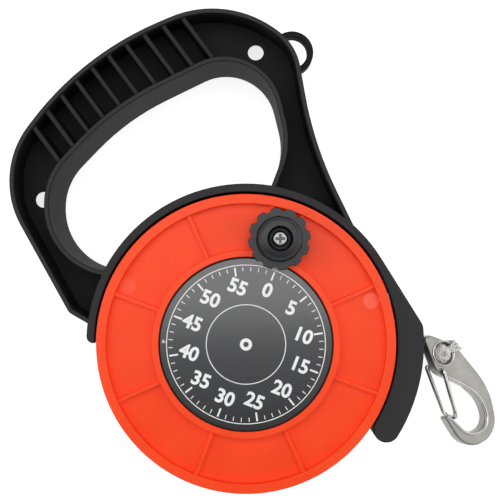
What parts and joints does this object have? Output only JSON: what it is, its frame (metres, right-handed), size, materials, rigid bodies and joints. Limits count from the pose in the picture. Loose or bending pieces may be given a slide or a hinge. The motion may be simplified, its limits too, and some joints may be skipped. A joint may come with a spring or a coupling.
{
  "type": "dive reel",
  "caption": "Hand-held dive reel with a moulded D-grip frame, an orange line spool with a winding knob, a thumb lock and a steel snap hook on the line.",
  "frame": {"origin": "on the spool's axis, in the plane that the reel's back rests on", "axes": "+Z along the spool's axis towards the winding knob, +Y towards the top of the grip, +X towards the tail that the line leaves by"},
  "size_m": [0.2679, 0.2568, 0.0642],
  "materials": {
    "frame_polymer": "fine spark-eroded texture, satin black",
    "black_polymer": "satin black",
    "orange_polymer": "satin orange, slightly glossier rims",
    "label": "glossy dark printed film with a plain white dial",
    "nylon": "natural nylon",
    "stainless": "bright turned stainless steel",
    "steel": "plain spring steel",
    "snap_steel": "tumbled cast stainless steel",
    "brass": "turned brass",
    "line": "braided polyester line"
  },
  "bodies": {
    "frame": {"frame": "frame_polymer", "axle_bolt": "stainless", "axle_sleeve": "nylon", "rear_washer": "nylon", "front_washer": "stainless", "axle_nut": "stainless", "lever_screw": "stainless", "lever_washer": "stainless", "click_ball": "steel", "click_spring": "steel", "snap_body": "snap_steel", "line_lead": "line", "line_knot": "line"},
    "spool": {"spool_front": "orange_polymer", "spool_rear": "orange_polymer", "spool_screws": "stainless", "hub_cap": "black_polymer", "label_disc": "label", "knob_sleeve": "nylon", "knob_washer": "stainless", "knob_insert": "brass", "knob_screw": "stainless", "line_pack": "line", "line_layer": "line"},
    "knob": {"winding_knob": "black_polymer"},
    "lever": {"lock_lever": "orange_polymer"},
    "gate": {"snap_gate": "snap_steel"}
  },
  "joints": [
    {"name": "spool_spin", "type": "hinge", "parent": "frame", "child": "spool", "pos_m": [0, 0, 0.026], "axis": [0, 0, 1], "continuous": true},
    {"name": "knob_spin", "type": "hinge", "parent": "spool", "child": "knob", "pos_m": [0.01728, 0.05516, 0.05], "axis": [0, 0, 1], "continuous": true},
    {"name": "lever_turn", "type": "hinge", "parent": "frame", "child": "lever", "pos_m": [0.03408, 0.08696, 0.014], "axis": [0, 0, 1], "range_deg": [-14, 0]},
    {"name": "gate_swing", "type": "hinge", "parent": "frame", "child": "gate", "pos_m": [0.10841, -0.0184, 0.01274], "axis": [0.3533, 0.1244, 0.9272], "range_deg": [0, 22], "stiffness_Nm_per_rad": 0.02, "springref_deg": -20.05}
  ]
}
